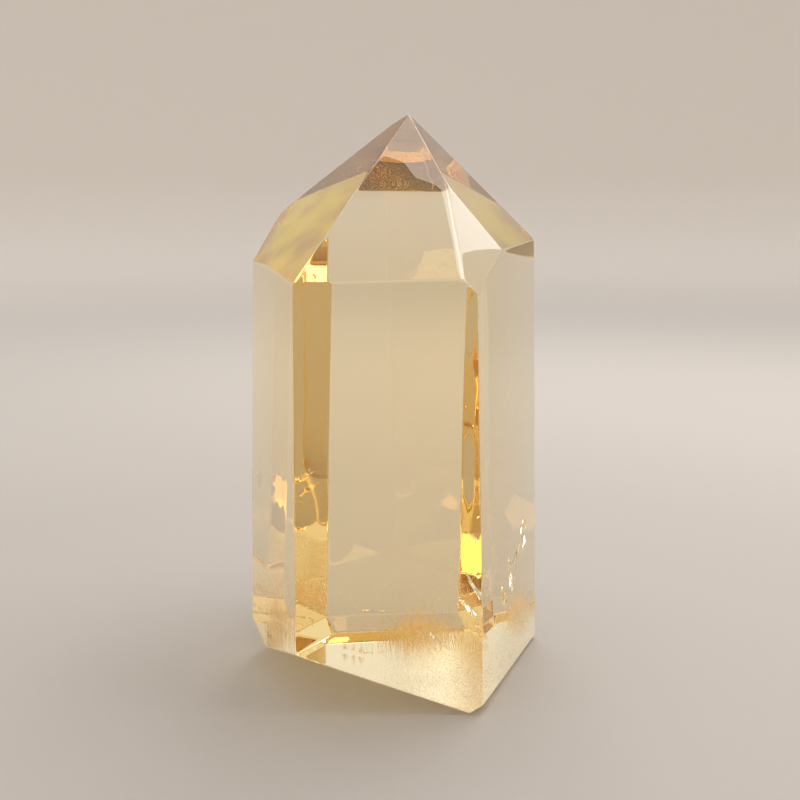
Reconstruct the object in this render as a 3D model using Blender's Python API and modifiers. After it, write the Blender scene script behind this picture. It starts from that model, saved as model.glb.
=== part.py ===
"""Citrine crystal point: one clear six-sided quartz point, ground and polished to stand.

Units are metres, +Z is up. The crystal stands on its flat foot at Z = 0, and the
origin is the middle of its footprint box. Azimuths are seen from above: 0 faces
-Y (the front), 90 faces +X (the right).

The stone is made the way it is cut. A rough block is ground flat along one plane
after another: six prism faces, nine facets of the point, and the cuts at the foot.
"""

import math
from dataclasses import dataclass

import bmesh
import bpy
from mathutils import Matrix, Vector

MM = 0.001

# Driving sizes
HEIGHT = 95.4 * MM                          # foot to tip
TIP_XY = Vector((2.3 * MM, 3.0 * MM, 0.0))  # the tip stands off the middle of the block
BLOCK_WIDTH = 90.0 * MM                     # the rough block, before grinding
BLOCK_HEIGHT = 1.2 * HEIGHT
ARRIS_WIDTH = 0.22 * MM                     # the fine polished edge between two faces
WELD_DISTANCE = 0.1 * MM                    # corners closer than this are one corner
FLAT_ANGLE = math.radians(0.05)             # faces that turn less than this are one face
SHARP_ANGLE = math.radians(4.0)

# Foot chamfer behind, where the base was eased after sawing
EASED_SLOPE = 45.0
EASED_HEIGHT = 2.7 * MM

# Colour and polish of the stone
CITRINE_COLOUR = (0.86, 0.72, 0.42, 1.0)
CITRINE_ROUGHNESS = 0.03
QUARTZ_IOR = 1.55


@dataclass(frozen=True)
class PrismFace:
    """A tall side face: it leans inwards by `lean` degrees as it rises."""

    azimuth: float
    lean: float
    reach: float  # from the axis to the face, at the foot

    def plane(self):
        """A point on the face, and its outward normal."""
        normal = outward(self.azimuth, self.lean)
        return heading(self.azimuth) * self.reach, normal


@dataclass(frozen=True)
class TipFacet:
    """A facet of the point: `slope` is its angle from level, `rise` where it meets the tip's axis."""

    azimuth: float
    slope: float
    rise: float

    def plane(self):
        """A point on the facet, and its outward normal."""
        return TIP_XY + Vector((0.0, 0.0, self.rise)), outward(self.azimuth, 90.0 - self.slope)


@dataclass(frozen=True)
class FootCut:
    """An undercut at the foot: `slope` is its angle from level, `reach` where it meets the floor."""

    azimuth: float
    slope: float
    reach: float

    def plane(self):
        """A point on the cut, and its outward normal."""
        normal = outward(self.azimuth, self.slope - 90.0)
        return heading(self.azimuth) * self.reach, normal


PRISM_FACES = {
    "front": PrismFace(0.4, 1.9, 28.0 * MM),
    "front_right": PrismFace(68.2, 2.0, 23.5 * MM),
    "back_right": PrismFace(119.8, -0.2, 24.1 * MM),
    "back": PrismFace(187.7, 1.2, 26.3 * MM),
    "back_left": PrismFace(245.9, 1.8, 22.3 * MM),
    "front_left": PrismFace(293.1, 1.1, 25.5 * MM),
}

TIP_FACETS = {
    "tip_front": TipFacet(-1.3, 43.4, HEIGHT),
    "tip_left": TipFacet(-56.4, 42.1, HEIGHT),
    "tip_right": TipFacet(65.1, 48.2, HEIGHT),
    "tip_back": TipFacet(185.0, 48.8, HEIGHT),
    "tip_back_right": TipFacet(123.1, 46.1, HEIGHT),
    "tip_back_left": TipFacet(237.0, 42.9, HEIGHT + 1.2 * MM),
    "summit_back_left": TipFacet(235.4, 29.9, HEIGHT),
    "shoulder_front_right": TipFacet(46.7, 50.6, HEIGHT + 4.0 * MM),
    "shoulder_left": TipFacet(-65.2, 49.5, HEIGHT + 6.9 * MM),
}

FOOT_CUTS = {
    "undercut_front_left": FootCut(-35.7, 31.3, 15.3 * MM),
    "undercut_right": FootCut(65.8, 37.2, 21.9 * MM),
    "undercut_left": FootCut(-81.1, 42.4, 18.9 * MM),
}

EASED_FACES = ("back", "back_left")


def heading(azimuth):
    """The level direction that faces this azimuth."""
    angle = math.radians(azimuth)
    return Vector((math.sin(angle), -math.cos(angle), 0.0))


def outward(azimuth, elevation):
    """The unit normal that faces this azimuth, raised by this elevation."""
    angle = math.radians(elevation)
    return heading(azimuth) * math.cos(angle) + Vector((0.0, 0.0, math.sin(angle)))


def eased_cut(face):
    """The chamfer that eases a prism face's lower edge, at EASED_HEIGHT above the floor."""
    inset = EASED_HEIGHT / math.tan(math.radians(EASED_SLOPE))
    lean_in = EASED_HEIGHT * math.tan(math.radians(face.lean))
    return FootCut(face.azimuth, EASED_SLOPE, face.reach - lean_in - inset)


def rough_block():
    """A plain block that stands on the floor, larger than the finished stone."""
    block = bmesh.new()
    size = Matrix.Diagonal((BLOCK_WIDTH, BLOCK_WIDTH, BLOCK_HEIGHT, 1.0))
    lift = Matrix.Translation((0.0, 0.0, BLOCK_HEIGHT / 2.0))
    bmesh.ops.create_cube(block, size=1.0, matrix=lift @ size)
    return block


def grind(stone, point, normal):
    """Cut away what lies outside one plane and close the stone with a flat face."""
    geometry = stone.verts[:] + stone.edges[:] + stone.faces[:]
    cut = bmesh.ops.bisect_plane(
        stone, geom=geometry, dist=1e-7, plane_co=point, plane_no=normal, clear_outer=True)
    rim = [item for item in cut["geom_cut"] if isinstance(item, bmesh.types.BMEdge)]
    bmesh.ops.holes_fill(stone, edges=rim)


def citrine_material():
    """Clear polished quartz with a pale yellow body."""
    material = bpy.data.materials.new("citrine_polished")
    material.use_nodes = True
    shader = material.node_tree.nodes["Principled BSDF"]
    shader.inputs["Base Color"].default_value = CITRINE_COLOUR
    shader.inputs["Roughness"].default_value = CITRINE_ROUGHNESS
    shader.inputs["Metallic"].default_value = 0.0
    shader.inputs["IOR"].default_value = QUARTZ_IOR
    shader.inputs["Transmission Weight"].default_value = 1.0
    return material


def centre_on_footprint(stone):
    """Move the stone sideways so that the origin is the middle of its footprint box."""
    xs = [vert.co.x for vert in stone.verts]
    ys = [vert.co.y for vert in stone.verts]
    middle = Vector((min(xs) + max(xs), min(ys) + max(ys), 0.0)) / 2.0
    bmesh.ops.translate(stone, verts=stone.verts, vec=-middle)


def make_crystal(collection):
    """The whole stone, as one solid."""
    stone = rough_block()
    chamfers = [eased_cut(PRISM_FACES[name]) for name in EASED_FACES]
    for facet in [*PRISM_FACES.values(), *TIP_FACETS.values(), *FOOT_CUTS.values(), *chamfers]:
        grind(stone, *facet.plane())
    bmesh.ops.remove_doubles(stone, verts=stone.verts, dist=WELD_DISTANCE)
    bmesh.ops.dissolve_limit(
        stone, angle_limit=FLAT_ANGLE, verts=stone.verts, edges=stone.edges)
    bmesh.ops.recalc_face_normals(stone, faces=stone.faces)
    centre_on_footprint(stone)

    mesh = bpy.data.meshes.new("citrine_point")
    stone.to_mesh(mesh)
    stone.free()
    crystal = bpy.data.objects.new("citrine_point", mesh)
    collection.objects.link(crystal)
    mesh.materials.append(citrine_material())

    arris = crystal.modifiers.new("polished_arrises", "BEVEL")
    arris.width = ARRIS_WIDTH
    arris.segments = 1
    arris.limit_method = "ANGLE"
    arris.angle_limit = SHARP_ANGLE
    return crystal


def main():
    """Clear the scene and make the crystal."""
    for old in list(bpy.data.objects):
        bpy.data.objects.remove(old)
    collection = bpy.data.collections.new("citrine_crystal_point")
    bpy.context.scene.collection.children.link(collection)
    make_crystal(collection)


main()
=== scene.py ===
"""Looks of a polished citrine crystal point.

One clear, pale yellow quartz crystal, ground and polished by hand to stand on its own
foot, with the fine inclusions that grew in it. Every size is a real one, in the frame
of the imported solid: metres, +Z up, -Y towards the broad front face, foot on Z = 0.
"""

import logging
import math
import random
from dataclasses import dataclass, field
from enum import Enum
from typing import Any

import bmesh
import bpy
import numpy as np
from mathutils import Matrix, Vector


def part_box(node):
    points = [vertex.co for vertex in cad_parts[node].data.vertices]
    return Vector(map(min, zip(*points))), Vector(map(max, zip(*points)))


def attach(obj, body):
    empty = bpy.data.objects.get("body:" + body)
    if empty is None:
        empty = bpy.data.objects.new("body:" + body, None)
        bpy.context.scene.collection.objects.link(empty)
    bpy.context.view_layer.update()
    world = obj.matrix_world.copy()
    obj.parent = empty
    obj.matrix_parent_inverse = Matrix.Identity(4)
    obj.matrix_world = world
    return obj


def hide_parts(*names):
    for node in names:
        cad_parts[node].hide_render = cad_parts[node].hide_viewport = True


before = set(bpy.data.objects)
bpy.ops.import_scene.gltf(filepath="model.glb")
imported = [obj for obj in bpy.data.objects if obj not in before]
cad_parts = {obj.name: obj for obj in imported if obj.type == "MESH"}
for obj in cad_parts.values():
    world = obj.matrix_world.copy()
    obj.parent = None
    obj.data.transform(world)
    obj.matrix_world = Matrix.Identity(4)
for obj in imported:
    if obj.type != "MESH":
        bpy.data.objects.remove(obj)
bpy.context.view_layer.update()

MM = 0.001
BODY = "root"
STONE_NODE = "citrine_point"
CUT_TOLERANCE = 1e-7                     # corners this close to a cut lie on it
MIX_FROM, MIX_TO, MIX_COLOUR = 6, 7, 2   # the Mix node's colour sockets go by number

Facet = tuple[Vector, Vector]            # a point on a facet, and its outward normal

log = logging.getLogger("citrine_point")


# ------------------------------------------------------------------ colours and nodes


def linear(hex_colour: str) -> tuple[float, float, float, float]:
    """Turn an sRGB hex colour into the linear one that shaders take.

    Args:
        hex_colour: six hex digits, with or without a leading #.

    Returns:
        Linear red, green and blue, and an alpha of 1.
    """
    digits = hex_colour.lstrip("#")
    channels = [int(digits[place:place + 2], 16) / 255.0 for place in (0, 2, 4)]
    flat = [c / 12.92 if c <= 0.04045 else ((c + 0.055) / 1.055) ** 2.4 for c in channels]
    return flat[0], flat[1], flat[2], 1.0


def add_node(tree: bpy.types.NodeTree, kind: str, inputs: dict[Any, Any] | None = None,
             **settings: Any) -> bpy.types.Node:
    """Add one node to a tree, with its settings, its values and its links.

    Args:
        tree: the node tree that gets the node.
        kind: the node's type name.
        inputs: what goes into each input, by its name or number: a plain value, or the
            output socket to link from.
        **settings: the node's own properties.

    Returns:
        The new node.
    """
    node = tree.nodes.new(kind)
    for name, value in settings.items():
        setattr(node, name, value)
    for name, value in (inputs or {}).items():
        if isinstance(value, bpy.types.NodeSocket):
            tree.links.new(value, node.inputs[name])
        else:
            node.inputs[name].default_value = value
    return node


def fresh_material(name: str) -> tuple[bpy.types.Material, bpy.types.NodeTree]:
    """Start a material with an empty node tree.

    Args:
        name: the material's name.

    Returns:
        The material and its tree.
    """
    material = bpy.data.materials.new(name)
    material.use_nodes = True
    material.node_tree.nodes.clear()
    return material, material.node_tree


# ------------------------------------------------------------------ finishes


@dataclass(frozen=True)
class PaintedGoldFacet:
    """A facet of the point whose surface colour is painted gold: a painted golden reflection."""

    facing: tuple[float, float, float]   # the facet's outward normal
    depth: float                         # how strong its painted gold is; 1 is the strongest


@dataclass(frozen=True)
class HandPolishedCitrine:
    """Citrine, a clear yellow quartz, ground flat and polished by hand on a felt wheel.

    The eye gets sharp, glassy facets with a faint greasy haze left by the wheel. The
    yellow is in the body of the stone, so it is pale where one looks straight through
    and turns to gold where light runs the long way round inside. Gold is also painted
    into the surface colour on the side facets of the point and on the very tip, in soft
    bright and deep patches: a painted golden reflection of light that runs round inside.
    The foot is only fine-ground towards the right, so it looks milky there.
    """

    ior: float = 1.55
    tint: str = "#FBE58E"
    tint_density: float = 14.0       # per metre
    polish: float = 0.0
    haze: float = 0.03               # roughness of the smeared patches
    haze_size: float = 9.0 * MM
    haze_from: float = 0.5           # noise level where a smear begins
    haze_to: float = 0.75            # and where it is full
    # painted golden reflection: gold painted into the surface colour on these facets of the point
    painted_gold_facets: tuple[PaintedGoldFacet, ...] = (
        PaintedGoldFacet((-0.558, -0.371, 0.742), 1.0),   # under the left facet of the point
        PaintedGoldFacet((-0.690, -0.319, 0.649), 0.8),   # under the narrow shoulder at the left
        PaintedGoldFacet((0.676, -0.314, 0.667), 0.9),    # under the right facet
    )
    painted_tip_gold_from: float = 79.0 * MM  # height where the painted gold of the very tip begins
    painted_tip_gold_to: float = 85.0 * MM
    # painted golden reflection at the very tip
    painted_tip_gold_strength: float = 0.85
    painted_gold_inner: float = 0.992      # cosine of the turn where a facet's painted gold is full
    painted_gold_outer: float = 0.982      # and where it ends
    clear: str = "#FFFFFF"
    # the painted gold of the reflection, bright and deep in soft patches
    painted_gold_bright: str = "#FFDD24"
    painted_gold_deep: str = "#CB9A30"
    painted_gold_patch: float = 9.0 * MM
    painted_gold_from: float = 0.42         # noise level where the bright gold starts to deepen
    painted_gold_to: float = 0.62           # and where it is deepest
    ground_foot: float = 0.32        # roughness of the foot where it was only fine-ground
    ground_from: float = -6.0 * MM   # x where the foot starts to lose its polish
    ground_to: float = 10.0 * MM
    foot_inner: float = 0.995        # cosine of the turn off level that is still the foot
    foot_outer: float = 0.980        # and of the one that no longer is

    def painted_tip_gold_share(self, tree: bpy.types.NodeTree,
                  place: bpy.types.NodeSocket) -> bpy.types.NodeSocket:
        """Find how far each place belongs to the painted gold of the tip.

        Args:
            tree: the material's node tree.
            place: the place on the stone.

        Returns:
            The share, from 0 to the depth of the tip's colour.
        """
        height = add_node(tree, "ShaderNodeSeparateXYZ", {0: place}).outputs["Z"]
        return add_node(tree, "ShaderNodeMapRange", {
            "Value": height, "From Min": self.painted_tip_gold_from, "From Max": self.painted_tip_gold_to,
            "To Max": self.painted_tip_gold_strength}, interpolation_type="SMOOTHSTEP").outputs["Result"]

    def painted_gold_share(self, tree: bpy.types.NodeTree, share: bpy.types.NodeSocket,
                     facing: bpy.types.NodeSocket) -> bpy.types.NodeSocket:
        """Find how far each place is painted gold, on a facet of the point or on the tip.

        Args:
            tree: the material's node tree.
            share: how far it belongs to the tip.
            facing: the surface's normal, in the stone's own frame.

        Returns:
            The share, from 0 to 1.
        """
        for painted_facet in self.painted_gold_facets:
            turn = add_node(tree, "ShaderNodeVectorMath", {0: facing, 1: painted_facet.facing},
                            operation="DOT_PRODUCT").outputs["Value"]
            either_side = add_node(tree, "ShaderNodeMath", {0: turn}, operation="ABSOLUTE")
            here = add_node(tree, "ShaderNodeMapRange", {
                "Value": either_side.outputs["Value"], "From Min": self.painted_gold_outer,
                "From Max": self.painted_gold_inner, "To Max": painted_facet.depth}).outputs["Result"]
            share = add_node(tree, "ShaderNodeMath", {0: share, 1: here},
                             operation="MAXIMUM").outputs["Value"]
        return share

    def body_colour_and_painted_gold(self, tree: bpy.types.NodeTree, place: bpy.types.NodeSocket,
                    facing: bpy.types.NodeSocket) -> bpy.types.NodeSocket:
        """Paint gold in soft patches on the side facets of the point and on the tip, as a painted
        golden reflection, and leave the rest clear.

        Args:
            tree: the material's node tree.
            place: the place on the stone.
            facing: the surface's normal, in the stone's own frame.

        Returns:
            The tint that light takes as it crosses the surface.
        """
        patches = add_node(tree, "ShaderNodeTexNoise", {
            "Vector": place, "Scale": 1.0 / self.painted_gold_patch, "Detail": 2.0, "Roughness": 0.45})
        patch = add_node(tree, "ShaderNodeMapRange", {
            "Value": patches.outputs["Fac"], "From Min": self.painted_gold_from,
            "From Max": self.painted_gold_to})
        tip = self.painted_tip_gold_share(tree, place)
        deep = add_node(tree, "ShaderNodeMath", {0: patch.outputs["Result"], 1: tip},
                        operation="MAXIMUM")
        gold = add_node(tree, "ShaderNodeMix", {
            "Factor": deep.outputs["Value"], MIX_FROM: linear(self.painted_gold_bright),
            MIX_TO: linear(self.painted_gold_deep)}, data_type="RGBA")
        mixed = add_node(tree, "ShaderNodeMix", {
            "Factor": self.painted_gold_share(tree, tip, facing), MIX_FROM: linear(self.clear),
            MIX_TO: gold.outputs[MIX_COLOUR]}, data_type="RGBA")
        return mixed.outputs[MIX_COLOUR]

    def roughness(self, tree: bpy.types.NodeTree, place: bpy.types.NodeSocket,
                  facing: bpy.types.NodeSocket) -> bpy.types.NodeSocket:
        """Smear a little haze on the facets, and leave the right of the foot fine-ground.

        Args:
            tree: the material's node tree.
            place: the place on the stone.
            facing: the surface's normal, in the stone's own frame.

        Returns:
            The roughness.
        """
        smears = add_node(tree, "ShaderNodeTexNoise", {
            "Vector": place, "Scale": 1.0 / self.haze_size, "Detail": 4.0, "Roughness": 0.6})
        haze = add_node(tree, "ShaderNodeMapRange", {
            "Value": smears.outputs["Fac"], "From Min": self.haze_from,
            "From Max": self.haze_to, "To Min": self.polish, "To Max": self.haze})
        level = add_node(tree, "ShaderNodeMath", {
            0: add_node(tree, "ShaderNodeSeparateXYZ", {0: facing}).outputs["Z"]},
            operation="ABSOLUTE")
        down = add_node(tree, "ShaderNodeMapRange", {
            "Value": level.outputs["Value"], "From Min": self.foot_outer,
            "From Max": self.foot_inner})
        across = add_node(tree, "ShaderNodeSeparateXYZ", {0: place}).outputs["X"]
        ground = add_node(tree, "ShaderNodeMapRange", {
            "Value": across, "From Min": self.ground_from, "From Max": self.ground_to,
            "To Max": self.ground_foot})
        foot = add_node(tree, "ShaderNodeMath", {
            0: down.outputs["Result"], 1: ground.outputs["Result"]}, operation="MULTIPLY")
        return add_node(tree, "ShaderNodeMath", {
            0: haze.outputs["Result"], 1: foot.outputs["Value"]}, operation="ADD").outputs["Value"]

    def material(self) -> bpy.types.Material:
        """Build the material.

        Returns:
            The material.
        """
        material, tree = fresh_material("citrine_hand_polished_painted_gold")
        frame_of_stone = add_node(tree, "ShaderNodeTexCoord").outputs
        place, facing = frame_of_stone["Object"], frame_of_stone["Normal"]
        surface = add_node(tree, "ShaderNodeBsdfPrincipled", {
            # the surface colour holds the painted golden reflection
            "Base Color": self.body_colour_and_painted_gold(tree, place, facing), "Metallic": 0.0,
            "IOR": self.ior, "Transmission Weight": 1.0,
            "Roughness": self.roughness(tree, place, facing)})
        body = add_node(tree, "ShaderNodeVolumeAbsorption", {
            "Color": linear(self.tint), "Density": self.tint_density})
        add_node(tree, "ShaderNodeOutputMaterial", {
            "Surface": surface.outputs["BSDF"], "Volume": body.outputs["Volume"]})
        return material


@dataclass(frozen=True)
class GrownGoethite:
    """Goethite, an iron oxide that grew as hair-fine needles inside the quartz.

    The eye gets dry golden-brown threads that glint along their length.
    """

    pale: str = "#FFF1C4"
    deep: str = "#EDBE5C"
    grain: float = 1.1 * MM
    pale_until: float = 0.35         # noise level where the pale colour starts to deepen
    deep_from: float = 0.65          # and where it is deepest
    roughness: float = 0.35
    inner_glow: float = 0.18         # stands for the light that the threads pass on to each other

    def material(self) -> bpy.types.Material:
        """Build the material.

        Returns:
            The material.
        """
        material, tree = fresh_material("goethite_needle_grown")
        place = add_node(tree, "ShaderNodeTexCoord").outputs["Object"]
        grain = add_node(tree, "ShaderNodeTexNoise", {
            "Vector": place, "Scale": 1.0 / self.grain, "Detail": 2.0})
        spread = add_node(tree, "ShaderNodeMapRange", {
            "Value": grain.outputs["Fac"], "From Min": self.pale_until,
            "From Max": self.deep_from})
        colour = add_node(tree, "ShaderNodeMix", {
            "Factor": spread.outputs["Result"], MIX_FROM: linear(self.pale),
            MIX_TO: linear(self.deep)}, data_type="RGBA")
        surface = add_node(tree, "ShaderNodeBsdfPrincipled", {
            "Base Color": colour.outputs[MIX_COLOUR], "Roughness": self.roughness,
            "Emission Color": linear(self.pale), "Emission Strength": self.inner_glow})
        add_node(tree, "ShaderNodeOutputMaterial", {"Surface": surface.outputs["BSDF"]})
        return material


@dataclass(frozen=True)
class HealedQuartz:
    """Milky quartz: tiny pockets of water and gas, shut in where the crystal healed.

    The eye gets a soft cream cloud with a few brighter points. The real pockets are a
    few micrometres wide; these are drawn as coarse as they need to show.
    """

    pale: str = "#FFFEFB"
    warm: str = "#FFF8EA"
    patch: float = 2.5 * MM
    roughness: float = 0.45
    inner_glow: float = 0.24         # stands for the light that scatters about in the cloud

    def material(self) -> bpy.types.Material:
        """Build the material.

        Returns:
            The material.
        """
        material, tree = fresh_material("quartz_milky_healed")
        place = add_node(tree, "ShaderNodeTexCoord").outputs["Object"]
        patches = add_node(tree, "ShaderNodeTexNoise", {
            "Vector": place, "Scale": 1.0 / self.patch, "Detail": 2.0})
        colour = add_node(tree, "ShaderNodeMix", {
            "Factor": patches.outputs["Fac"], MIX_FROM: linear(self.pale),
            MIX_TO: linear(self.warm)}, data_type="RGBA")
        surface = add_node(tree, "ShaderNodeBsdfPrincipled", {
            "Base Color": colour.outputs[MIX_COLOUR], "Roughness": self.roughness,
            "Emission Color": linear(self.pale), "Emission Strength": self.inner_glow})
        add_node(tree, "ShaderNodeOutputMaterial", {"Surface": surface.outputs["BSDF"]})
        return material


@dataclass(frozen=True)
class MattePaper:
    """Pale matte paper, swept up all round the stone, painted darker near it and paler as it runs
    out and rises: painted shade and painted light.

    The eye gets a soft, even ground without a line where the floor ends.
    """

    # painted shade near the stone and painted light far out and on the wall, to set how lit each
    # part looks
    painted_shade_near_colour: str = "#A59E98"
    painted_light_far_colour: str = "#E9E2DB"
    near: float = 120.0 * MM         # how far from the stone the paper keeps its near colour
    far: float = 1350.0 * MM         # and where it has its far colour
    roughness: float = 0.9
    tooth: float = 0.5 * MM          # the real one, 0.1 mm, drawn as coarse as it needs to show
    tooth_depth: float = 0.02 * MM

    def material(self) -> bpy.types.Material:
        """Build the material.

        Returns:
            The material.
        """
        material, tree = fresh_material("paper_matte_rolled")
        place = add_node(tree, "ShaderNodeTexCoord").outputs["Object"]
        grain = add_node(tree, "ShaderNodeTexNoise", {"Vector": place, "Scale": 1.0 / self.tooth})
        relief = add_node(tree, "ShaderNodeBump", {
            "Height": grain.outputs["Fac"], "Distance": self.tooth_depth})
        distance = add_node(tree, "ShaderNodeVectorMath", {0: place}, operation="LENGTH")
        run_out = add_node(tree, "ShaderNodeMapRange", {
            "Value": distance.outputs["Value"], "From Min": self.near, "From Max": self.far})
        colour = add_node(tree, "ShaderNodeMix", {
            "Factor": run_out.outputs["Result"], MIX_FROM: linear(self.painted_shade_near_colour),
            MIX_TO: linear(self.painted_light_far_colour)}, data_type="RGBA")
        surface = add_node(tree, "ShaderNodeBsdfPrincipled", {
            "Base Color": colour.outputs[MIX_COLOUR], "Roughness": self.roughness,
            "Normal": relief.outputs["Normal"]})
        add_node(tree, "ShaderNodeOutputMaterial", {"Surface": surface.outputs["BSDF"]})
        return material


# ------------------------------------------------------------------ the stone


def mean_width(face: bmesh.types.BMFace) -> float:
    """The width of a long strip that has this face's area and rim."""
    return 2.0 * face.calc_area() / face.calc_perimeter()


def everything(mesh: bmesh.types.BMesh) -> list[Any]:
    """All corners, edges and faces of a mesh."""
    return mesh.verts[:] + mesh.edges[:] + mesh.faces[:]


def cut(mesh: bmesh.types.BMesh, parts: list[Any], point: Vector, normal: Vector,
        clear: bool = False) -> list[bmesh.types.BMEdge]:
    """Cut parts of a mesh along a plane.

    Args:
        mesh: the mesh, changed in place.
        parts: the corners, edges and faces that the cut may touch.
        point: a point on the plane.
        normal: the way the plane faces.
        clear: whether what lies in front of the plane is taken away.

    Returns:
        The edges that lie on the plane.
    """
    made = bmesh.ops.bisect_plane(mesh, geom=parts, dist=CUT_TOLERANCE, plane_co=point,
                                  plane_no=normal, clear_outer=clear)
    return [item for item in made["geom_cut"] if isinstance(item, bmesh.types.BMEdge)]


@dataclass(frozen=True)
class LappingWave:
    """One slow swell that grinding by hand leaves in a face."""

    length: float
    depth: float
    heading: tuple[float, float, float]
    phase: float


@dataclass(frozen=True)
class EasedArris:
    """An edge between two facets that was eased flat, with a few strokes on the wheel."""

    first: tuple[float, float, float]    # roughly the outward normal of the one facet
    second: tuple[float, float, float]   # and of the other
    depth: float


@dataclass(frozen=True)
class AirFilm:
    """A small old crack inside the stone that still holds a thin film of air."""

    centre: tuple[float, float, float]   # millimetres
    facing: tuple[float, float, float]
    along: tuple[float, float, float]
    length: float
    width: float
    seed: int
    thickness: float = 0.05 * MM
    ripple: float = 0.16 * MM
    steps: int = 30
    rings: int = 5
    rim_turns: tuple[int, ...] = (2, 3, 5, 8)        # how often each wave goes round the rim
    rim_wave: tuple[float, float] = (0.05, 0.22)     # its least and most height, as a share
    swell_count: int = 3
    swell_along: tuple[float, float] = (2.0, 6.0)    # how fast a swell turns over the film
    swell_across: tuple[float, float] = (-4.0, 4.0)

    def add_to(self, stone: bmesh.types.BMesh) -> None:
        """Hollow the film out of the stone, as a closed skin that faces the air in it.

        Args:
            stone: the stone's mesh, which gets the skin.
        """
        draw = random.Random(self.seed)
        upward = Vector(self.facing).normalized()
        along = Vector(self.along)
        along = (along - upward * along.dot(upward)).normalized()
        across = upward.cross(along)
        waves = [(turn, draw.uniform(*self.rim_wave), draw.uniform(0.0, math.tau))
                 for turn in self.rim_turns]
        swells = [(draw.uniform(*self.swell_along), draw.uniform(*self.swell_across),
                   draw.uniform(0.0, math.tau)) for _ in range(self.swell_count)]

        def place(angle: float, out: float, side: float) -> Vector:
            """Find one point of the skin.

            Args:
                angle: how far round the rim it is.
                out: how far out from the middle, as a share of the reach.
                side: 1 for the upper skin, -1 for the lower one.

            Returns:
                The point.
            """
            rim = 1.0 + sum(size * math.sin(turn * angle + start) for turn, size, start in waves)
            u, v = out * rim * math.cos(angle), out * rim * math.sin(angle)
            swell = sum(math.sin(a * u + b * v + start) for a, b, start in swells) / len(swells)
            lift = side * self.thickness * (1.0 - out * out) / 2.0 + self.ripple * swell
            return (Vector(self.centre) * MM + along * (u * self.length / 2.0)
                    + across * (v * self.width / 2.0) + upward * lift)

        angles = [math.tau * step / self.steps for step in range(self.steps)]
        rim = [stone.verts.new(place(angle, 1.0, 0.0)) for angle in angles]
        for side in (1.0, -1.0):
            loops = [rim]
            for ring in range(1, self.rings):
                loops.append([stone.verts.new(place(angle, 1.0 - ring / self.rings, side))
                              for angle in angles])
            middle = stone.verts.new(place(0.0, 0.0, side))
            for outer, inner in zip(loops, loops[1:]):
                for here in range(self.steps):
                    there = (here + 1) % self.steps
                    corners = [outer[here], inner[here], inner[there], outer[there]]
                    stone.faces.new(corners if side > 0.0 else corners[::-1])
            for here in range(self.steps):
                corners = [loops[-1][here], middle, loops[-1][(here + 1) % self.steps]]
                stone.faces.new(corners if side > 0.0 else corners[::-1])


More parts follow.
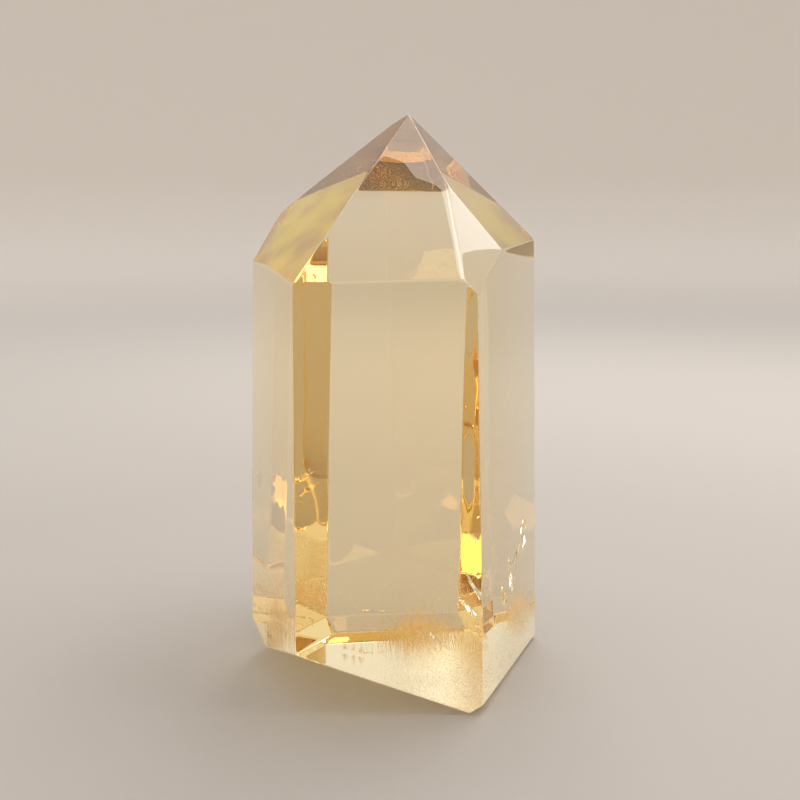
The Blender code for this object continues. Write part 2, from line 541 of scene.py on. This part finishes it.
@dataclass
class PolishedStone:
    """The clear stone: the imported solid's facets, with soft arrises and hand-lapped faces."""

    name: str = "citrine_polished_point"
    stored_weld: float = 0.001 * MM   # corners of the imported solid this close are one
    flat_turn: float = 0.002          # radians; faces that turn less than this are one
    least_facet: float = 0.3 * MM     # anything narrower is an arris
    block_share: float = 1.5          # the rough block's size, over the solid's
    weld: float = 0.3 * MM            # corners closer than this are one corner
    arris: float = 0.25 * MM
    arris_steps: int = 3
    arris_profile: float = 0.5        # a round one
    arris_softness: float = 0.055 * MM
    pillow_reach: float = 1.6 * MM    # how far from an arris a face starts to fall away
    pillow_share: float = 0.035
    band_reaches: tuple[float, ...] = (0.4 * MM, 1.0 * MM, 2.0 * MM, 3.6 * MM)
    least_band: float = 1.0 * MM      # shorter edges get no bands along them
    slice_gap: float = 2.4 * MM
    settle_steps: int = 6
    eased: tuple[EasedArris, ...] = (
        # between the front facet of the point and the shoulder at its right
        EasedArris((-0.016, -0.687, 0.727), (0.562, -0.530, 0.635), 0.13 * MM),
    )
    waves: tuple[LappingWave, ...] = (
        LappingWave(17.0 * MM, 0.010 * MM, (0.9, 0.2, 0.45), 0.4),
        LappingWave(11.0 * MM, 0.005 * MM, (-0.3, 0.9, 0.5), 1.9),
        LappingWave(7.0 * MM, 0.002 * MM, (0.7, -0.6, 0.3), 3.1),
        LappingWave(23.0 * MM, 0.012 * MM, (0.1, 0.4, 0.9), 5.2),
    )
    films: tuple[AirFilm, ...] = (
        # a cluster low down on the right, that runs on towards the front
        AirFilm((17.8, 3.0, 20.8), (0.75, -0.35, 0.55), (0.2, 0.1, 1.0), 6.6 * MM, 3.0 * MM, 3),
        AirFilm((16.8, 0.0, 18.8), (-0.70, -0.45, 0.60), (0.5, 0.1, 1.0), 5.4 * MM, 2.6 * MM, 5),
        AirFilm((14.8, 0.0, 17.4), (0.60, -0.30, -0.75), (0.5, 0.1, 1.0), 6.0 * MM, 3.0 * MM, 7),
        AirFilm((13.4, -3.0, 14.6), (0.80, -0.20, 0.60), (0.4, 0.0, 1.0), 6.4 * MM, 2.4 * MM, 11),
        AirFilm((16.6, -4.0, 15.2), (-0.70, -0.45, 0.60), (0.1, 0.1, 1.0), 5.0 * MM, 2.0 * MM, 13),
        AirFilm((12.0, -7.0, 12.4), (0.65, -0.30, 0.70), (0.3, -0.1, 1.0), 5.0 * MM, 1.8 * MM, 17),
        AirFilm((6.4, -5.0, 6.6), (0.85, -0.10, 0.60), (-0.25, 0.0, 1.0), 2.8 * MM, 0.9 * MM, 19),
        # two short ones over the rear edge of the foot
        AirFilm((-6.0, 23.0, 4.1), (0.0, -0.5, 0.9), (1.0, 0.0, 0.0), 2.4 * MM, 0.6 * MM, 23),
        AirFilm((-2.9, 23.0, 4.0), (0.1, -0.5, 0.9), (1.0, 0.0, 0.0), 1.6 * MM, 0.5 * MM, 29),
    )

    def facets(self) -> list[Facet]:
        """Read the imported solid's facets, and add the eased arrises.

        Returns:
            The facets.
        """
        solid = bmesh.new()
        solid.from_mesh(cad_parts[STONE_NODE].data)
        bmesh.ops.remove_doubles(solid, verts=solid.verts, dist=self.stored_weld)
        bmesh.ops.dissolve_limit(
            solid, angle_limit=self.flat_turn, verts=solid.verts, edges=solid.edges)
        found = [(face.calc_center_median(), face.normal.copy()) for face in solid.faces
                 if mean_width(face) > self.least_facet]
        solid.free()
        for arris in self.eased:
            (near, one), (far, other) = [
                max(found, key=lambda facet: facet[1].dot(Vector(side)))
                for side in (arris.first, arris.second)]
            reach = (one.dot(near) + other.dot(far)) / (one + other).length - arris.depth
            between = (one + other).normalized()
            found.append((between * reach, between))
        return found

    def rough(self, facets: list[Facet]) -> bmesh.types.BMesh:
        """Grind a block along the facets.

        Args:
            facets: the stone's facets.

        Returns:
            The stone with sharp arrises.
        """
        low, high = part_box(STONE_NODE)
        stone = bmesh.new()
        size = Matrix.Diagonal((*((high - low) * self.block_share), 1.0))
        bmesh.ops.create_cube(
            stone, size=1.0, matrix=Matrix.Translation((low + high) / 2.0) @ size)
        for point, normal in facets:
            rim = cut(stone, everything(stone), point, normal, clear=True)
            bmesh.ops.holes_fill(stone, edges=rim)
        bmesh.ops.remove_doubles(stone, verts=stone.verts, dist=self.weld)
        bmesh.ops.recalc_face_normals(stone, faces=stone.faces)
        return stone

    def round_arrises(self, stone: bmesh.types.BMesh) -> None:
        """Round every arris in a few steps."""
        bmesh.ops.bevel(
            stone, geom=stone.edges[:], offset=self.arris, segments=self.arris_steps,
            profile=self.arris_profile, affect="EDGES", clamp_overlap=True)

    def border_facets(self, stone: bmesh.types.BMesh) -> None:
        """Cut bands along the rim of each facet, where it starts to fall away.

        Args:
            stone: the stone's mesh, changed in place.
        """
        stone.faces.ensure_lookup_table()
        owner = stone.faces.layers.int.new("owner")
        bands = []
        for number, face in enumerate(stone.faces[:], start=1):
            face[owner] = number
            if mean_width(face) <= self.least_facet:
                continue
            middle, flat = face.calc_center_median(), face.normal.copy()
            for edge in face.edges:
                if edge.calc_length() > self.least_band:
                    start = edge.verts[0].co.copy()
                    inward = flat.cross(edge.verts[1].co - start).normalized()
                    inward *= math.copysign(1.0, inward.dot(middle - start))
                    bands.append((number, start, inward))
        for number, start, inward in bands:
            for reach in self.band_reaches:
                faces = [face for face in stone.faces if face[owner] == number]
                edges = dict.fromkeys(edge for face in faces for edge in face.edges)
                verts = dict.fromkeys(vert for edge in edges for vert in edge.verts)
                cut(stone, [*verts, *edges, *faces], start + inward * reach, inward)

    def slice_through(self, stone: bmesh.types.BMesh) -> None:
        """Slice the whole stone along each axis, so that its facets can swell.

        Args:
            stone: the stone's mesh, changed in place.
        """
        low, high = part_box(STONE_NODE)
        for axis in range(3):
            normal = Vector([1.0 if axis == side else 0.0 for side in range(3)])
            for step in range(1, int((high[axis] - low[axis]) / self.slice_gap)):
                point = normal * (low[axis] + step * self.slice_gap)
                cut(stone, everything(stone), point, normal)

    def height(self, places: np.ndarray, normals: np.ndarray,
               reaches: np.ndarray) -> tuple[np.ndarray, np.ndarray]:
        """Find how far each place stands outside the lapped stone.

        Args:
            places: points, one a row.
            normals: the facets' outward normals.
            reaches: the facets' distances from the origin, along their normals.

        Returns:
            The height over the lapped surface at each place, and its slope.
        """
        over = places @ normals.T - reaches
        total = np.zeros(len(places))
        slope = np.zeros_like(places)
        shares = ((self.arris_softness, 1.0 - self.pillow_share),
                  (self.pillow_reach, self.pillow_share))
        for softness, share in shares:
            top = over.max(axis=1, keepdims=True)
            weight = np.exp((over - top) / softness)
            whole = weight.sum(axis=1, keepdims=True)
            total += share * (top[:, 0] + softness * np.log(whole[:, 0]))
            slope += share * (weight / whole) @ normals
        for wave in self.waves:
            pace = np.array(wave.heading) / np.linalg.norm(wave.heading) * (math.tau / wave.length)
            turn = places @ pace + wave.phase
            total += wave.depth * (1.0 + np.sin(turn))
            slope += wave.depth * np.cos(turn)[:, None] * pace
        return total, slope

    def build(self) -> bpy.types.Object:
        """Build the stone's mesh, with the true normals of its lapped surface.

        Returns:
            The piece.
        """
        facets = self.facets()
        stone = self.rough(facets)
        self.round_arrises(stone)
        self.border_facets(stone)
        self.slice_through(stone)
        normals = np.array([normal for _, normal in facets])
        reaches = np.array([point.dot(normal) for point, normal in facets])
        places = np.array([vert.co for vert in stone.verts])
        for _ in range(self.settle_steps):
            over, slope = self.height(places, normals, reaches)
            places -= slope * (over / (slope ** 2).sum(axis=1))[:, None]
        for vert, place in zip(stone.verts, places):
            vert.co = place
        slope = self.height(places, normals, reaches)[1]
        slope /= np.linalg.norm(slope, axis=1, keepdims=True)
        for film in self.films:
            film.add_to(stone)
        own = np.zeros((len(stone.verts) - len(slope), 3))   # a film keeps its mesh's own normals
        mesh = bpy.data.meshes.new(self.name)
        stone.to_mesh(mesh)
        stone.free()
        mesh.shade_smooth()
        mesh.normals_split_custom_set_from_vertices(np.vstack([slope, own]).tolist())
        piece = bpy.data.objects.new(self.name, mesh)
        bpy.context.scene.collection.objects.link(piece)
        return piece

    def dress(self, piece: bpy.types.Object) -> None:
        """Give the stone its polish and put it on its body.

        Args:
            piece: the stone.
        """
        piece.data.materials.append(HandPolishedCitrine().material())
        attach(piece, BODY)
        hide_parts(STONE_NODE)


# ------------------------------------------------------------------ what grew in the stone


class GrainKind(Enum):
    """How the grains of an inclusion are shaped."""

    NEEDLE = "needle"
    FLECK = "fleck"


@dataclass(frozen=True)
class GrainPatch:
    """One patch of grains inside the stone. Places and spreads are in millimetres."""

    centre: tuple[float, float, float]
    spread: tuple[float, float, float]
    count: int
    least: float                     # a grain's length or width
    most: float
    lean: float = 12.0               # degrees that a needle leans off upright


@dataclass
class Inclusion:
    """Grains that grew inside the stone, as one piece of fine meshes."""

    name: str
    kind: GrainKind
    patches: tuple[GrainPatch, ...]
    seed: int
    slim: float = 0.065 * MM         # a needle's width at its root, coarse enough to show
    slim_share: tuple[float, float] = (0.6, 1.4)   # the thinnest and thickest, against that
    needle_sides: int = 3
    flat: float = 0.35               # a fleck's thickness, as a share of its width
    rim_share: tuple[float, float] = (0.55, 1.0)   # how far out a fleck's corners reach
    fleck_sides: int = 5
    small_bias: float = 2.2          # over 1, small grains outnumber large ones
    margin: float = 0.35 * MM        # the clear quartz left outside each grain

    def needle(self, sheet: bmesh.types.BMesh, root: Vector, tip: Vector,
               draw: random.Random) -> None:
        """Grow one needle that tapers from its root to its tip.

        Args:
            sheet: the mesh that gets the needle.
            root: the middle of its blunt end.
            tip: its point.
            draw: the source of chance.
        """
        run = (tip - root).normalized()
        aside = run.orthogonal().normalized()
        width = self.slim * draw.uniform(*self.slim_share) / 2.0
        turns = [Matrix.Rotation(math.tau * side / self.needle_sides, 3, run)
                 for side in range(self.needle_sides)]
        base = [sheet.verts.new(root + turn @ aside * width) for turn in turns]
        point = sheet.verts.new(tip)
        sheet.faces.new(base[::-1])
        for here, there in zip(base, base[1:] + base[:1]):
            sheet.faces.new([here, there, point])

    def fleck(self, sheet: bmesh.types.BMesh, centre: Vector, width: float,
              draw: random.Random) -> None:
        """Grow one flat, uneven fleck.

        Args:
            sheet: the mesh that gets the fleck.
            centre: its middle.
            width: its full width.
            draw: the source of chance.
        """
        turn = Matrix.Rotation(draw.uniform(0.0, math.tau), 3, Vector(
            [draw.gauss(0.0, 1.0) for _ in range(3)]).normalized())
        rim = []
        for side in range(self.fleck_sides):
            angle = math.tau * side / self.fleck_sides
            out = width / 2.0 * draw.uniform(*self.rim_share)
            rim.append(sheet.verts.new(
                centre + turn @ Vector((out * math.cos(angle), out * math.sin(angle), 0.0))))
        for way in (1.0, -1.0):
            peak = sheet.verts.new(
                centre + turn @ Vector((0.0, 0.0, way * width * self.flat / 2.0)))
            for here, there in zip(rim, rim[1:] + rim[:1]):
                corners = [here, there, peak]
                sheet.faces.new(corners if way > 0.0 else corners[::-1])

    def lies_inside(self, ends: list[Vector], facets: list[Facet]) -> bool:
        """Tell whether a grain has clear quartz all round it.

        Args:
            ends: the ends of the grain.
            facets: the stone's facets.

        Returns:
            True if every end is deep enough under every facet.
        """
        return all((end - point).dot(normal) <= -self.margin
                   for end in ends for point, normal in facets)

    def build(self, facets: list[Facet]) -> bpy.types.Object:
        """Grow all the grains that lie inside the stone.

        Args:
            facets: the stone's facets.

        Returns:
            The piece.
        """
        draw = random.Random(self.seed)
        sheet = bmesh.new()
        for patch in self.patches:
            for _ in range(patch.count):
                place = Vector([(middle + draw.gauss(0.0, spread / 2.0)) * MM
                                for middle, spread in zip(patch.centre, patch.spread)])
                share = draw.random() ** self.small_bias
                size = patch.least + (patch.most - patch.least) * share
                ends = [place]
                if self.kind is GrainKind.NEEDLE:
                    lean = [math.tan(math.radians(draw.gauss(0.0, patch.lean / 2.0)))
                            for _ in range(2)]
                    ends.append(place + Vector((*lean, 1.0)).normalized() * size)
                if not self.lies_inside(ends, facets):
                    continue
                if self.kind is GrainKind.NEEDLE:
                    self.needle(sheet, *ends, draw)
                else:
                    self.fleck(sheet, place, size, draw)
        mesh = bpy.data.meshes.new(self.name)
        sheet.to_mesh(mesh)
        sheet.free()
        piece = bpy.data.objects.new(self.name, mesh)
        bpy.context.scene.collection.objects.link(piece)
        return piece

    def dress(self, piece: bpy.types.Object, finish: GrownGoethite | HealedQuartz) -> None:
        """Give the grains their finish and put them on the stone's body.

        Args:
            piece: the grains.
            finish: what they are made of.
        """
        piece.data.materials.append(finish.material())
        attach(piece, BODY)


@dataclass
class Inclusions:
    """Everything that shows inside the stone, beside its air films."""

    needles: Inclusion = field(default_factory=lambda: Inclusion(
        "goethite_needles", GrainKind.NEEDLE, (
            # the spray over the rear edge of the foot, its long needles, and a thin growth
            # in front of it
            GrainPatch((4.2, 20.5, 0.7), (8.5, 4.5, 0.5), 620, 1.0 * MM, 5.0 * MM),
            GrainPatch((4.0, 21.0, 0.7), (5.0, 3.0, 0.4), 260, 2.0 * MM, 7.6 * MM),
            GrainPatch((8.5, 15.0, 0.6), (9.0, 7.0, 0.4), 350, 0.8 * MM, 3.2 * MM, 20.0),
            # three small tufts on the left of the foot
            GrainPatch((-9.4, 10.0, 0.5), (0.5, 0.8, 0.1), 14, 0.8 * MM, 2.2 * MM, 16.0),
            GrainPatch((-7.9, 9.0, 0.5), (0.5, 0.8, 0.1), 14, 0.8 * MM, 2.6 * MM, 16.0),
            GrainPatch((-6.4, 7.5, 0.5), (0.5, 0.8, 0.1), 12, 0.8 * MM, 2.0 * MM, 16.0),
        ), seed=41))
    clouds: Inclusion = field(default_factory=lambda: Inclusion(
        "milky_clouds", GrainKind.FLECK, (
            # the veil over the right of the foot, and its rear end
            GrainPatch((9.5, -9.0, 0.8), (10.0, 22.0, 0.6), 15500, 0.06 * MM, 0.20 * MM),
            GrainPatch((9.0, 16.0, 1.4), (9.0, 8.0, 1.6), 2200, 0.05 * MM, 0.20 * MM),
            # a small cloud low in the left face
            GrainPatch((-19.2, -5.0, 12.9), (4.2, 4.0, 3.2), 170, 0.06 * MM, 0.24 * MM),
            # sparkles low in the back, and the chips along the rear left arris
            GrainPatch((-5.5, 22.5, 8.5), (13.0, 2.5, 8.0), 70, 0.08 * MM, 0.22 * MM),
            GrainPatch((-13.2, 21.0, 7.6), (0.35, 1.0, 6.0), 26, 0.14 * MM, 0.42 * MM),
            # grains among the cracks on the right, and behind them
            GrainPatch((15.6, -1.0, 17.0), (4.5, 6.0, 9.0), 160, 0.06 * MM, 0.22 * MM),
            GrainPatch((12.0, 18.0, 10.0), (6.0, 5.0, 5.0), 120, 0.06 * MM, 0.22 * MM),
        ), seed=43))
    specks: Inclusion = field(default_factory=lambda: Inclusion(
        "goethite_specks", GrainKind.FLECK, (
            # a yellow-brown spot high up on the right, and the trail over it
            GrainPatch((7.1, 8.0, 57.4), (0.9, 2.0, 0.9), 14, 0.10 * MM, 0.40 * MM),
            GrainPatch((7.6, 8.0, 61.0), (0.8, 2.0, 5.0), 34, 0.05 * MM, 0.20 * MM),
            # dots along the rear left arris
            GrainPatch((-12.7, 21.5, 41.5), (0.2, 0.2, 0.2), 3, 0.18 * MM, 0.30 * MM),
            GrainPatch((-13.4, 21.5, 4.4), (0.6, 0.6, 0.6), 8, 0.15 * MM, 0.40 * MM),
        ), seed=47))

    def build(self, facets: list[Facet]) -> list[bpy.types.Object]:
        """Grow and dress every inclusion.

        Args:
            facets: the stone's facets.

        Returns:
            The pieces.
        """
        pieces = []
        for grown, finish in ((self.needles, GrownGoethite()), (self.clouds, HealedQuartz()),
                              (self.specks, GrownGoethite())):
            piece = grown.build(facets)
            grown.dress(piece, finish)
            pieces.append(piece)
        return pieces


# ------------------------------------------------------------------ the studio


class LightPlace(Enum):
    """Where a soft light stands round the stone."""

    KEY = "key"
    FILL = "fill"


@dataclass(frozen=True)
class SoftLight:
    """A square soft box that faces the stone."""

    place: LightPlace
    azimuth: float      # degrees round the stone; 0 is in front, 90 on the right
    elevation: float    # degrees over the floor
    distance: float
    side: float
    power: float        # watts
    colour: str


@dataclass
class Studio:
    """A pale paper sweep, soft lights and the camera."""

    floor_radius: float = 1250.0 * MM
    cove_radius: float = 150.0 * MM
    wall_height: float = 270.0 * MM
    cove_steps: int = 16
    turn_steps: int = 96
    seam: float = 0.1 * MM           # corners of the sweep this close are one
    aim: Vector = Vector((0.61 * MM, -4.50 * MM, 46.54 * MM))
    camera_place: Vector = Vector((0.61 * MM, -175.06 * MM, 75.82 * MM))
    lens: float = 45.0               # millimetres, and so is the sensor
    sensor: float = 36.0
    nearest: float = 1.0 * MM        # how near the camera still sees
    lights: tuple[SoftLight, ...] = (
        SoftLight(LightPlace.KEY, 155.0, 60.0, 0.48, 0.44, 1.9, "#FFFDFA"),
        SoftLight(LightPlace.FILL, 88.0, 58.0, 0.50, 0.24, 0.6, "#FFFDFA"),
    )
    room_low: str = "#C6BDB3"        # the room's light just over the sweep
    room_high: str = "#F8F6F3"       # and overhead
    room_low_until: float = 15.0     # degrees over the floor
    room_high_from: float = 25.0

    def sweep(self) -> bpy.types.Object:
        """Turn the sweep's profile round the stone: a floor, a cove and a wall.

        Returns:
            The sweep.
        """
        profile = [Vector((0.0, 0.0, 0.0)), Vector((self.floor_radius, 0.0, 0.0))]
        for step in range(1, self.cove_steps + 1):
            angle = math.pi / 2.0 * step / self.cove_steps
            profile.append(Vector((self.floor_radius + self.cove_radius * math.sin(angle), 0.0,
                                   self.cove_radius * (1.0 - math.cos(angle)))))
        profile.append(profile[-1] + Vector((0.0, 0.0, self.wall_height)))
        sheet = bmesh.new()
        corners = [sheet.verts.new(place) for place in profile]
        edges = [sheet.edges.new(pair) for pair in zip(corners, corners[1:])]
        bmesh.ops.spin(sheet, geom=corners + edges, cent=(0, 0, 0), axis=(0, 0, 1),
                       angle=math.tau, steps=self.turn_steps)
        bmesh.ops.remove_doubles(sheet, verts=sheet.verts, dist=self.seam)
        mesh = bpy.data.meshes.new("paper_sweep")
        sheet.to_mesh(mesh)
        sheet.free()
        mesh.shade_smooth()
        mesh.materials.append(MattePaper().material())
        paper = bpy.data.objects.new("paper_sweep", mesh)
        bpy.context.scene.collection.objects.link(paper)
        return paper

    def hang(self, light: SoftLight) -> None:
        """Hang one soft box so that it faces the stone.

        Args:
            light: the soft box.
        """
        around, up = math.radians(light.azimuth), math.radians(light.elevation)
        toward = Vector((math.sin(around) * math.cos(up), -math.cos(around) * math.cos(up),
                         math.sin(up)))
        lamp = bpy.data.lights.new(f"soft_{light.place.value}", "AREA")
        lamp.size = light.side
        lamp.energy = light.power
        lamp.color = linear(light.colour)[:3]
        box = bpy.data.objects.new(lamp.name, lamp)
        box.location = self.aim + toward * light.distance
        box.rotation_euler = toward.to_track_quat("Z", "Y").to_euler()
        bpy.context.scene.collection.objects.link(box)

    def surround(self) -> None:
        """Fill the room above the sweep with soft light that is paler overhead."""
        world = bpy.data.worlds.new("studio_room")
        world.use_nodes = True
        tree = world.node_tree
        tree.nodes.clear()
        way = add_node(tree, "ShaderNodeTexCoord").outputs["Generated"]
        rise = add_node(tree, "ShaderNodeMapRange", {
            "Value": add_node(tree, "ShaderNodeSeparateXYZ", {0: way}).outputs["Z"],
            "From Min": math.sin(math.radians(self.room_low_until)),
            "From Max": math.sin(math.radians(self.room_high_from))},
            interpolation_type="SMOOTHSTEP")
        colour = add_node(tree, "ShaderNodeMix", {
            "Factor": rise.outputs["Result"], MIX_FROM: linear(self.room_low),
            MIX_TO: linear(self.room_high)}, data_type="RGBA")
        glow = add_node(tree, "ShaderNodeBackground", {"Color": colour.outputs[MIX_COLOUR]})
        add_node(tree, "ShaderNodeOutputWorld", {"Surface": glow.outputs["Background"]})
        bpy.context.scene.world = world

    def camera(self) -> None:
        """Stand the camera in front of the stone, close and a little above its middle."""
        data = bpy.data.cameras.new("studio_camera")
        data.lens = self.lens
        data.sensor_width = self.sensor
        data.clip_start = self.nearest
        stand = bpy.data.objects.new("studio_camera", data)
        stand.location = self.camera_place
        stand.rotation_euler = (self.camera_place - self.aim).to_track_quat("Z", "Y").to_euler()
        bpy.context.scene.collection.objects.link(stand)
        bpy.context.scene.camera = stand

    def build(self) -> None:
        """Set up the whole studio."""
        self.sweep()
        for light in self.lights:
            self.hang(light)
        self.surround()
        self.camera()


def let_light_through(turns: int = 32, brightest: float = 6.0) -> None:
    """Let a light path cross and bounce inside the clear stone often enough to get out.

    Args:
        turns: the most turns that a path may take.
        brightest: the most that one path may add to a pixel after its first turn.
    """
    scene = bpy.context.scene
    scene.view_settings.view_transform = "Standard"   # colours as they are, without a film curve
    if hasattr(scene, "cycles"):
        scene.cycles.max_bounces = turns
        scene.cycles.transmission_bounces = turns
        scene.cycles.glossy_bounces = turns
        scene.cycles.sample_clamp_indirect = brightest


def main() -> None:
    """Build the stone and its studio, and note the sizes."""
    logging.basicConfig(level=logging.INFO, format="%(name)s: %(message)s")
    stone = PolishedStone()
    piece = stone.build()
    stone.dress(piece)
    for made in [piece, *Inclusions().build(stone.facets())]:
        log.info("%s: %d faces", made.name, len(made.data.polygons))
    Studio().build()
    let_light_through()


if __name__ == "__main__":
    main()
